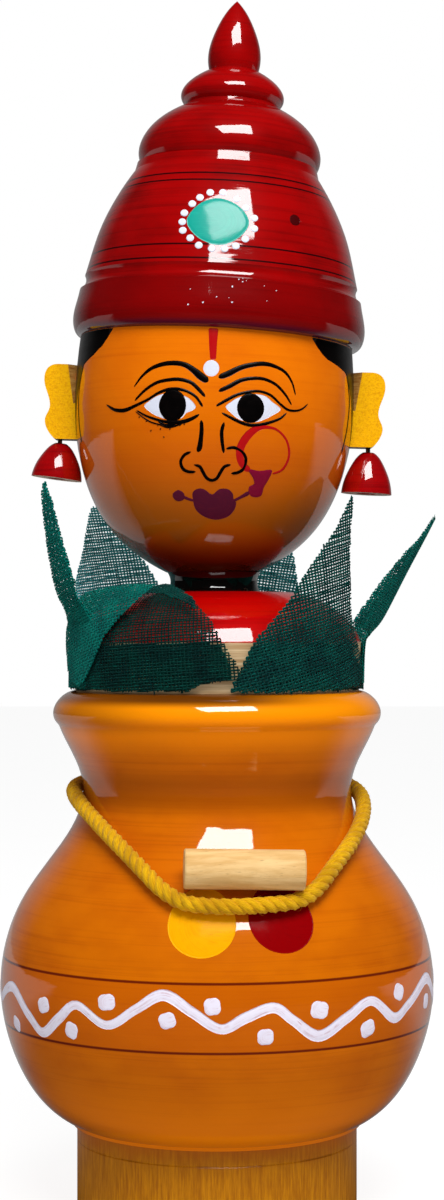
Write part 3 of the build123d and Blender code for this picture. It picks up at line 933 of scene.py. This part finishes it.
def paint_pot(frame):
    """The belly's white wave and dots all the way round, and the two discs under the thread."""
    ground = Ground(frame, "pot_body", UPRIGHT, BELLY_R)
    wash = brushed_paint("wave_paint", (240, 234, 250), (198, 150, 158), 0.3, 0.75)
    chance = random.Random(7)
    arc = math.radians(1.0) * BELLY_R
    wave = Paint(ground, 0.09)
    dots = UPPER_DOTS + LOWER_DOTS
    points = list(WAVE_FRONT)
    crest, last, apart = WAVE_BACK
    while crest < last:
        points.append((crest - 6, WAVE_LOW + chance.uniform(-0.9, 0.9)))
        points.append((crest + 7, WAVE_HIGH + chance.uniform(-1.0, 1.0)))
        dots.append((crest - 7, UPPER_DOT + chance.uniform(-0.5, 0.5)))
        dots.append((crest + 8, LOWER_DOT + chance.uniform(-0.6, 0.6)))
        crest += apart
    points.append(WAVE_END)
    wave.stroke([(angle * arc, up, 1.95 + chance.uniform(-0.35, 0.4)) for angle, up in points], step=0.7)
    for angle, up in dots:
        wide = 3.4 + chance.uniform(-0.3, 0.4)
        tall = 3.1 + chance.uniform(-0.3, 0.3)
        wave.dot(angle * arc, up, wide, tall, chance.uniform(-25, 25), squareness=0.14)
    wave.piece("belly_wave", wash)
    for name, paint, angle, up, colour, thin, thinness in DISCS:
        disc = Paint(ground, 0.05)
        disc.dot(angle * arc, up, *DISC_SIZE, corners=20)
        disc.piece(name, brushed_paint(paint, colour, thin, 0.04, thinness, 0.01))


# ---------------------------------------------------------------- thread

STRAND_SIDES = 18

# Where along a loose fibre its five points are, and how thick it is along the thread and at a cut end
FIBRE_SHARES = (0.0, 0.25, 0.5, 0.75, 1.0)
FUZZ_R = 0.028
TUFT_R = 0.05


def route_points(route):
    """Points along the smooth NURBS line that the route's points control."""
    curve = bpy.data.curves.new("route", "CURVE")
    curve.dimensions = "3D"
    spline = curve.splines.new("NURBS")
    spline.points.add(len(route) - 1)
    for point, place in zip(spline.points, route):
        point.co = (*place, 1.0)
    spline.order_u = 3
    spline.use_endpoint_u = True
    spline.resolution_u = 30
    made = bpy.data.objects.new("route", curve)
    mesh = bpy.data.meshes.new_from_object(made)
    points = [vertex.co.copy() for vertex in mesh.vertices]
    bpy.data.objects.remove(made)
    bpy.data.meshes.remove(mesh)
    bpy.data.curves.remove(curve)
    return points


def twisted(shape, points, across, pitch):
    """Three strands twisted round a line; each strand shows its own yarns, twisted the other way."""
    strand_r = across * 0.275
    offset = across * 0.5 - strand_r

    def section(_, distance):
        twist = -2 * math.pi * distance / (pitch * 0.7)
        ring = []
        for j in range(STRAND_SIDES):
            angle = 2 * math.pi * j / STRAND_SIDES
            radius = strand_r * (1.0 + 0.09 * math.cos(6 * angle + 3 * twist))
            ring.append((radius * math.cos(angle), radius * math.sin(angle)))
        return ring

    for number in range(STRANDS):
        line = []
        for point, run, side, up in rail(points):
            angle = 2 * math.pi * (run / pitch + number / STRANDS)
            line.append(point + (side * math.cos(angle) + up * math.sin(angle)) * offset)
        sweep(shape, line, section)


def fibre(shape, line, radius):
    """One loose fibre, three-sided, that thins toward its tip."""
    def section(index, _):
        thin = radius * MM * (1.1 - index / 4)
        return [(thin * math.cos(angle), thin * math.sin(angle)) for angle in (0.0, 2.094, 4.189)]

    sweep(shape, line, section)


def fuzz(shape, points, across, count, seed):
    """Loose fibres that stand off a twisted thread."""
    chance = random.Random(seed)
    for _ in range(count):
        index = chance.randrange(1, len(points) - 1)
        tangent = (points[index + 1] - points[index - 1]).normalized()
        spin = Matrix.Rotation(chance.uniform(0.0, 2 * math.pi), 3, tangent)
        side = spin @ tangent.orthogonal().normalized()
        lean = chance.uniform(-1.2, 1.2)
        length = chance.uniform(0.5, 1.5) * MM
        root = points[index] + side * across * 0.40
        bend = tangent.cross(side) * chance.uniform(-0.4, 0.4)
        line = []
        for share in FIBRE_SHARES:
            out = side * (1.0 - 0.4 * share) + tangent * lean * share + bend * share
            line.append(root + out * length * share)
        fibre(shape, line, FUZZ_R)


def tuft(shape, root, direction, count, seed):
    """The frayed brush of fibres at a cut end."""
    chance = random.Random(seed)
    for _ in range(count):
        spread = Vector([chance.gauss(0.0, 0.28) for _ in range(3)])
        start = root - direction * 0.3 * MM + Vector([chance.gauss(0.0, 0.35) for _ in range(3)]) * MM
        length = chance.uniform(1.6, 3.2) * MM
        line = [start + (direction + spread * share) * length * share for share in FIBRE_SHARES]
        fibre(shape, line, TUFT_R)


# The reef knot's two ends, each from where the thread stops to its tail, from the knot's middle
KNOT_MIDDLE = (0, 29.8, 83.9)
KNOT_D = 2.3 * MM
KNOT_ENDS = [
    [(-4.3, -1, 0), (-3.4, 0.2, 0.9), (-1.6, 1, 1.5), (0.3, -0.1, 1.4), (2.1, -0.9, 1.2), (3.1, -1, 0),
     (2.1, -0.9, -1.2), (0.3, -0.1, -1.4), (-1.5, 1, -1.5), (-3.4, 1, -1.9), (-5.2, 0.7, -3.4),
     (-6.2, 1.2, -6.2), (-6, 2, -9.6)],
    [(4.3, -1, 0), (3.4, 0.2, -0.9), (1.6, 1, -1.5), (-0.3, -0.1, -1.4), (-2.1, -0.9, -1.2), (-3.1, -1, 0),
     (-2.1, -0.9, 1.2), (-0.3, -0.1, 1.4), (1.5, 1, 1.5), (3.4, 1.1, 1.8), (5.2, 1, 1.2), (6.4, 0.9, -1.4),
     (6.9, 1.3, -5.2), (6.6, 2.2, -8.4)],
]


def tie_knot(material):
    """The reef knot behind the waist, with two short frayed tails."""
    knot = Shape()
    hairs = Shape()
    for seed, end in enumerate(KNOT_ENDS):
        points = smooth_line([(Vector(KNOT_MIDDLE) + Vector(place)) * MM for place in end], 0.25 * MM)
        twisted(knot, points, KNOT_D, ROPE_PITCH * 0.75)
        fuzz(hairs, points, KNOT_D, 60, 11 + seed)
        tuft(hairs, points[-1], (points[-1] - points[-4]).normalized(), 40, 15 + seed)
    piece = knot.piece("thread_reef_knot", material, "pot", "thread")
    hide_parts("thread_knot")
    return piece, hairs.piece("thread_knot_fray", material, "pot", "thread")


def lay_thread():
    """The sacred thread round the pot, and its knot behind the waist."""
    points = route_points(ROPE_ROUTE)
    material = cotton()
    rope = Shape()
    twisted(rope, points, ROPE_D * ROPE_LOFT, ROPE_PITCH)
    piece = rope.piece("sacred_thread", material, "pot", "thread")
    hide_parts("thread_rope")
    hairs = Shape()
    fuzz(hairs, points, ROPE_D, 420, 3)
    fuzz_piece = hairs.piece("thread_fuzz", material, "pot", "thread")
    knot_pieces = tie_knot(material)
    length = sum((after - before).length for before, after in zip(points, points[1:]))
    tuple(ROPE_ROUTE[0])


# ---------------------------------------------------------------- gauze

WEFT_PITCH = 0.56
WARP_PITCH = 0.70
YARN_THICK = 0.10
CLOTH_R = 29.5

# How far a leaf waves in and out at its tip, and the gap inside a folded one
LEAF_RIPPLE = 0.3
FOLD_GAP = 0.3

# The band and each leaf: the profile as (radius, height) from the bottom up, the slope of the weft, how
# wide a yarn lies flat, and the cut outline as (azimuth, distance up the profile).
GAUZE = {
    "leaf_band": {
        "profile": [(29.2, 103.3), (29.22, 108), (29.2, 112)],
        "slope": 3, "yarn": 0.45, "held": "laid", "ripple": 0.0,
        "outline": [
            (6.4, 0.4), (8.2, 2.6), (9.8, 4.4), (13.2, 8.6), (20, 9.1), (62, 9), (70, 5.5), (78, 2.5),
            (86, 5.5), (94, 8.4), (160, 8), (240, 8.5), (325, 9), (357, 9.1), (361, 8.6), (363.5, 6.6),
            (365.5, 4.2), (365, 2.6), (360, 2), (354, 1.6), (349, 0.3), (300, 0), (180, 0.2), (90, 0),
        ],
    },
    "leaf_front": {
        "profile": [(29.75, 103.3), (29.8, 111.5), (29.2, 115.5), (26.4, 119.4), (22.1, 122.3), (17, 124.3)],
        "slope": 4, "yarn": 0.31, "held": "laid",
        "outline": [
            (-59, 0.4), (-57.5, 2.4), (-52, 5.6), (-47, 10), (-42, 15), (-39, 20), (-39, 24.9), (-34, 26.4),
            (-26, 25.6), (-18.7, 23.1), (-10.6, 19.5), (-6.5, 16.6), (-2.1, 13.7), (1.4, 10.1), (5.9, 6.2),
            (8.7, 3.6), (8, 2.3), (2, 2), (-5, 1.7), (-10, 0.2), (-38, 0),
        ],
    },
    "leaf_left": {
        "profile": [
            (29.6, 103.3), (29.5, 112), (29.4, 115.2), (31, 119), (33.2, 122.5), (35.2, 128.8),
            (36.6, 135.5), (37.5, 141.6),
        ],
        "slope": 12, "yarn": 0.46, "folded": True,
        "outline": [
            (-50, 0.4), (-50, 8), (-54, 14), (-55.5, 18.3), (-53.5, 21.9), (-54, 26), (-55.5, 31.5),
            (-58.5, 38), (-62.4, 42.2), (-64.4, 39), (-66, 32), (-68.5, 26), (-72.5, 19.5), (-78, 15),
            (-90, 11.2), (-102, 8), (-106, 0.4),
        ],
    },
    "leaf_right_front": {
        "profile": [(29.75, 103.2), (29.8, 112), (29.9, 116), (30.5, 122), (31.6, 131), (33, 141.2)],
        "slope": 14, "yarn": 0.42,
        "outline": [
            (5, 0.1), (6.6, 2), (8.2, 3.6), (11.3, 7.4), (14.5, 10.2), (18.5, 12.3), (22.5, 14.8),
            (27, 17.6), (31, 21.2), (37.2, 26), (45.3, 31.4), (52.2, 37.9), (53.8, 35.6), (54, 31.3),
            (55.5, 25.7), (57.5, 20.1), (60, 14.5), (66, 10.1), (72, 6.4), (74, 1.9), (69, 0.9), (49, 0.3),
            (25, 0),
        ],
    },
    "leaf_right": {
        "profile": [(29.3, 104), (29.6, 112), (30.6, 114.2), (33.4, 117.8), (38.9, 128.8), (43.2, 137)],
        "slope": -10, "yarn": 0.42, "folded": True,
        "outline": [
            (79, 0.5), (82, 5), (89, 9.9), (70, 11.4), (53, 13.4), (60, 21.8), (69, 29.2), (85, 37.2),
            (91, 36.6), (99, 28), (110, 19), (121, 9), (126, 0.5),
        ],
    },
    "leaf_back_left": {
        "profile": [(29.6, 104), (29.8, 112), (30.2, 118), (31.2, 126), (32.7, 134), (34.5, 141.5)],
        "slope": -6, "yarn": 0.44,
        "outline": [
            (-103, 0.5), (-107, 10), (-111, 21), (-121, 29), (-129.5, 37.2), (-133, 37.4), (-143, 31.5),
            (-152, 24.8), (-157, 20), (-167, 9), (-172, 0.5),
        ],
    },
    "leaf_back_right": {
        "profile": [(29.6, 104), (29.8, 112), (30, 118), (30.9, 126), (32.4, 134), (33.6, 140)],
        "slope": 8, "yarn": 0.46,
        "outline": [
            (124, 0.5), (132, 8), (143, 13), (146, 20), (149, 26.2), (157, 34.8), (161, 35.6), (171, 28),
            (181, 18), (187, 9), (191, 0.5),
        ],
    },
}

# The hem folded over the front leaf's top, and the wing folded out to its left
HEM_OUTLINE = [
    (-44, 21.5), (-40, 25.3), (-34, 26.8), (-26, 26), (-18.7, 23.5), (-10, 19.6), (-8, 16.5), (-16, 19.2),
    (-26, 21.6), (-36, 21.8),
]
WING_PROFILE = [(30.2, 104), (30.3, 111.5), (30.2, 115.5), (29, 119.5), (27.2, 122.5), (25.2, 124.6)]
WING_OUTLINE = [
    (-63, 0), (-58.3, 0.9), (-52, 4.6), (-45.5, 9.4), (-37.5, 13.9), (-31, 17.8), (-27, 20.8), (-39, 20.9),
    (-50, 20.3), (-63.6, 19.4), (-76, 18.2), (-80, 14), (-80, 8), (-76, 3), (-70, 0.9),
]


def cone_place(profile, lift, ripple, seed):
    """Cloth coordinates in millimetres, round and up, to a place on a surface of revolution."""
    line = smooth_line([Vector((radius, height, 0.0)) for radius, height in profile], 0.4)
    radii = []
    heights = []
    run = 0.0
    for index, point in enumerate(line):
        run += (point - line[max(index - 1, 0)]).length
        radii.append((run, point.x))
        heights.append((run, point.y))
    chance = random.Random(seed)
    phases = [chance.uniform(0.0, 6.3) for _ in range(2)]

    def place(arc, up):
        held = min(max(up, 0.0), run)
        angle = arc / CLOTH_R
        loose = ripple * (held / run) ** 1.5
        wave = math.sin(angle * 7 + phases[0] + up * 0.10)
        wave += 0.6 * math.sin(angle * 13 + phases[1] - up * 0.17)
        radius = between(held, radii) + loose * wave + lift
        height = between(held, heights) + (up - held)
        return Vector((radius * math.sin(angle), -radius * math.cos(angle), height)) * MM

    return place


def inside_spans(outline, origin, direction):
    """The stretches of a line that lie inside a closed outline."""
    across = Vector((-direction.y, direction.x))
    crossings = []
    for here, there in zip(outline, outline[1:] + outline[:1]):
        first = (here - origin).dot(across)
        second = (there - origin).dot(across)
        if (first > 0) != (second > 0):
            spot = here.lerp(there, first / (first - second))
            crossings.append((spot - origin).dot(direction))
    crossings.sort()
    return list(zip(crossings[::2], crossings[1::2]))


def yarn(shape, place, origin, direction, span, beat, sign, wide, wander):
    """One flat yarn, over and under the yarns that it crosses, drifting a little to the side."""
    aslant = Vector((-direction.y, direction.x))
    first = math.floor(span[0] / beat * 2) + 1
    last = math.ceil(span[1] / beat * 2) - 1
    stops = [span[0]] + [index * beat / 2 for index in range(first, last + 1)] + [span[1]]
    rows = []
    laid = []
    for index, stop in enumerate(stops):
        spot = origin + direction * stop + aslant * (0.045 * math.sin(wander + stop * 0.9))
        here = place(*spot)
        ahead = place(*(spot + direction * 0.1)) - here
        aside = place(*(spot + aslant * 0.1)) - here
        normal = ahead.cross(aside).normalized()
        side = normal.cross(ahead).normalized()
        middle = here + normal * (sign * math.cos(math.pi * stop / beat) * YARN_THICK * 0.5 * MM)
        narrow = 0.6 if index in (0, len(stops) - 1) else 1.0
        reach = side * (wide / 2 * narrow * MM)
        thick = normal * (YARN_THICK / 2 * narrow * MM)
        rows.append([middle + reach, middle + thick, middle - reach, middle - thick])
        laid.append([(stop * MM, j * math.pi / 2, 0.0) for j in range(4)])
    shape.tube(rows, laid)


def weave(shape, outline, place, slope, yarn_wide, seed, fray=0.35):
    """Gauze cut to an outline: weft and warp yarns with loose ends along the cuts."""
    chance = random.Random(seed)
    for turn, pitch, beat, sign in ((0, WEFT_PITCH, WARP_PITCH, 1), (90, WARP_PITCH, WEFT_PITCH, -1)):
        angle = math.radians(slope + turn)
        direction = Vector((math.cos(angle), math.sin(angle)))
        across = Vector((-direction.y, direction.x))
        reaches = [corner.dot(across) for corner in outline]
        for number in range(math.floor(min(reaches) / pitch), math.ceil(max(reaches) / pitch) + 1):
            origin = across * (number * pitch + chance.uniform(-0.07, 0.07))
            for low, high in inside_spans(outline, origin, direction):
                long_end = 3.0 if chance.random() < 0.07 else 1.0
                low -= chance.uniform(-0.4 * fray, 0.6 * fray) * long_end
                high += chance.uniform(-0.4 * fray, 0.6 * fray) * long_end
                if high - low > 0.5:
                    over = sign * (-1) ** number
                    wide = yarn_wide * chance.uniform(0.85, 1.15)
                    wander = chance.uniform(0.0, 6.3)
                    yarn(shape, place, origin, direction, (low, high), beat, over, wide, wander)


def cloth_outline(points):
    """An outline of (azimuth, distance up) as flat cloth, in millimetres."""
    return [Vector((math.radians(angle) * CLOTH_R, up)) for angle, up in points]


def declare_gauze(piece, outline, held, layers=1):
    """Work out how large the flat cut of a gauze piece is; the area is not kept or returned, and the piece,
    how it is held and its layers are not used.
    """
    area = abs(sum(here.cross(there) for here, there in zip(outline, outline[1:] + outline[:1]))) / 2


def gauze_cloth(name, tone_with_painted_light, deep, worn):
    """Dyed gauze yarn, a little dusty and uneven in its dye, in a tone that carries its pieces' painted light
    and shade.
    """
    surface = Surface(name)
    fibre_noise = surface.noise(surface.laid((0.0009, 1.2, 1.0)), 2.0, 0.7)
    colour = surface.mix(surface.ramp(surface.speck(0.004, 3.0), 0.3, 0.7), tone_with_painted_light, deep)
    colour = surface.mix(surface.times(surface.ramp(fibre_noise, 0.45, 0.8), 0.5), colour, worn)
    return surface.set(
        Base_Color=colour, Roughness=0.7, Normal=surface.bump(fibre_noise, 0.00004), Sheen_Weight=0.02,
        Sheen_Roughness=0.5, Specular_IOR_Level=0.05, Subsurface_Weight=0.4, Subsurface_Scale=0.0004,
        Subsurface_Radius=(0.5, 1.0, 0.9),
    )


def lay_gauze():
    """The gauze band and its leaves round the shoulders."""
    # The same dyed gauze in four tones of painted light and shade: shaded for the band and the front leaf,
    # half shaded for the leaf right of the front and the hem fold, lit for the side leaves and the wing,
    # backlit pale for the back leaves.
    dark = gauze_cloth("gauze_painted_shade", (0, 46, 40), (0, 28, 28), (1, 80, 70))
    deep = gauze_cloth("gauze_painted_half_shade", (1, 62, 56), (0, 40, 40), (2, 98, 86))
    bright = gauze_cloth("gauze_painted_light", (0, 108, 96), (0, 84, 78), (4, 140, 124))
    pale = gauze_cloth("gauze_painted_backlight", (88, 204, 212), (46, 162, 172), (156, 230, 234))
    gauze_tones_by_light = {
        "leaf_band": dark, "leaf_front": dark, "leaf_left": bright, "leaf_right": bright,
        "leaf_back_left": pale, "leaf_back_right": pale,
    }
    for seed, (name, cut) in enumerate(GAUZE.items()):
        profile = cut["profile"]
        outline = cloth_outline(cut["outline"])
        ripple = cut.get("ripple", LEAF_RIPPLE)
        shape = Shape()
        weave(shape, outline, cone_place(profile, 0.0, ripple, seed), cut["slope"], cut["yarn"], seed)
        layers = 1
        if cut.get("folded"):
            layers = 2
            inner = cone_place(profile, -FOLD_GAP, ripple, seed)
            weave(shape, outline, inner, -cut["slope"], cut["yarn"], seed + 40)
        piece = shape.piece("gauze_" + name, gauze_tones_by_light.get(name, deep), "shoulders", "gauze")
        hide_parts(name)
        declare_gauze(piece, outline, cut.get("held", "draped"), layers)
    over_front = cone_place(GAUZE["leaf_front"]["profile"], 0.45, LEAF_RIPPLE, 1)
    beside_front = cone_place(WING_PROFILE, 0.0, 0.2, 22)
    folds = [
        ("gauze_front_fold", deep, HEM_OUTLINE, over_front, -30, 0.46, 21, 1),
        ("gauze_front_wing", bright, WING_OUTLINE, beside_front, 14, 0.54, 22, 2),
    ]
    for name, cloth, points, place, slope, wide, seed, layers in folds:
        outline = cloth_outline(points)
        shape = Shape()
        weave(shape, outline, place, slope, wide, seed, 0.1)
        declare_gauze(shape.piece(name, cloth, "shoulders", "gauze"), outline, "folded", layers)


# ---------------------------------------------------------------- studio

# Where the camera is and where the soft box points, in metres
CAMERA_AT = (0.001, -0.460, 0.115)
MIDDLE = (0.0, 0.0, 0.12)

# How bright the floor is to the camera, to bounced light, and mirrored in the lac from behind the doll
FLOOR_SEEN = 0.88
FLOOR_BOUNCED = 0.55
FLOOR_MIRRORED = 0.4

# How bright the room is to bounced light, and mirrored in the lac from in front of and behind the doll
ROOM_BOUNCED = 0.36
ROOM_FRONT = 0.012
ROOM_BEHIND = 0.30


def camera():
    """A level view of the face, straight on."""
    data = bpy.data.cameras.new("camera")
    data.lens = 69.0
    data.sensor_width = 36.0
    data.shift_y = 0.025
    data.clip_start = 0.01
    made = link(bpy.data.objects.new("camera", data))
    made.location = CAMERA_AT
    made.rotation_euler = (math.radians(90.0), 0.0, 0.0)
    bpy.context.scene.camera = made


def soft_box(name, elevation, azimuth, distance, size, radiance, skew):
    """A rectangular soft box that faces the doll's middle from the given direction."""
    wide, tall = size
    data = bpy.data.lights.new(name, "AREA")
    data.shape = "RECTANGLE"
    data.size = wide
    data.size_y = tall
    data.energy = radiance * math.pi * wide * tall
    made = link(bpy.data.objects.new(name, data))
    up = math.radians(elevation)
    side = math.radians(azimuth)
    outward = Vector((math.cos(up) * math.sin(side), -math.cos(up) * math.cos(side), math.sin(up)))
    made.location = Vector(MIDDLE) + outward * distance
    turn = outward.to_track_quat("Z", "Y").to_matrix().to_4x4()
    made.rotation_euler = (turn @ Matrix.Rotation(math.radians(skew), 4, "Z")).to_euler()


def studio():
    """A pale floor, a bright backdrop behind, a darker room in front and one soft box above."""
    reach = 3.0
    floor_mesh = bpy.data.meshes.new("floor")
    corners = [(-reach, -reach, 0), (reach, -reach, 0), (reach, reach, 0), (-reach, reach, 0)]
    floor_mesh.from_pydata(corners, [], [(0, 1, 2, 3)])
    surface = Surface("floor_paper")
    rays = surface.node("ShaderNodeLightPath").outputs
    seen = surface.times(rays["Is Camera Ray"], FLOOR_SEEN)
    bounced = surface.times(rays["Is Diffuse Ray"], FLOOR_BOUNCED)
    behind = surface.ramp(surface.along("Y"), 0.0, 120.0)
    mirrored = surface.times(rays["Is Glossy Ray"], surface.times(behind, FLOOR_MIRRORED))
    paper = surface.mix(surface.speck(0.05), (118, 118, 118), (124, 124, 124))
    floor_mesh.materials.append(surface.set(
        Base_Color=surface.mix(rays["Is Glossy Ray"], paper, (22, 22, 22)), Roughness=0.9,
        Emission_Color=(1.0, 1.0, 1.0, 1.0),
        Emission_Strength=surface.plus(surface.plus(seen, bounced), mirrored),
    ))
    link(bpy.data.objects.new("floor", floor_mesh))
    soft_box("key", 52.0, 10.0, 0.9, (0.52, 0.40), 12.8, 6.0)

    world = bpy.data.worlds.new("studio")
    bpy.context.scene.world = world
    world.use_nodes = True
    sky = Nodes(world.node_tree)
    rays = sky.node("ShaderNodeLightPath").outputs
    ahead = sky.part(sky.node("ShaderNodeTexCoord").outputs["Generated"], "Y")
    room = sky.spread(sky.ramp(ahead, 0.5, 1.0), ROOM_FRONT, ROOM_BEHIND)
    lit = sky.pick(rays["Is Glossy Ray"], ROOM_BOUNCED, room)
    background = sky.tree.nodes["Background"]
    sky.feed(background.inputs["Strength"], sky.pick(rays["Is Camera Ray"], lit, 1.0))
    sky.feed(background.inputs["Color"], (1.0, 1.0, 1.0, 1.0))
    bpy.context.scene.view_settings.view_transform = "Standard"


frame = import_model()
camera()
studio()
dress_frame(frame)
lay_thread()
lay_gauze()
black = brushed_paint("black_paint", (4, 2, 2), (24, 10, 4), 0.15, 0.4)
white = brushed_paint("white_paint", (220, 224, 240), (206, 176, 176), 0.3, 0.45)
paint_face(frame, black, white)
paint_hair(frame, black)
paint_cap(frame, white)
paint_pot(frame)
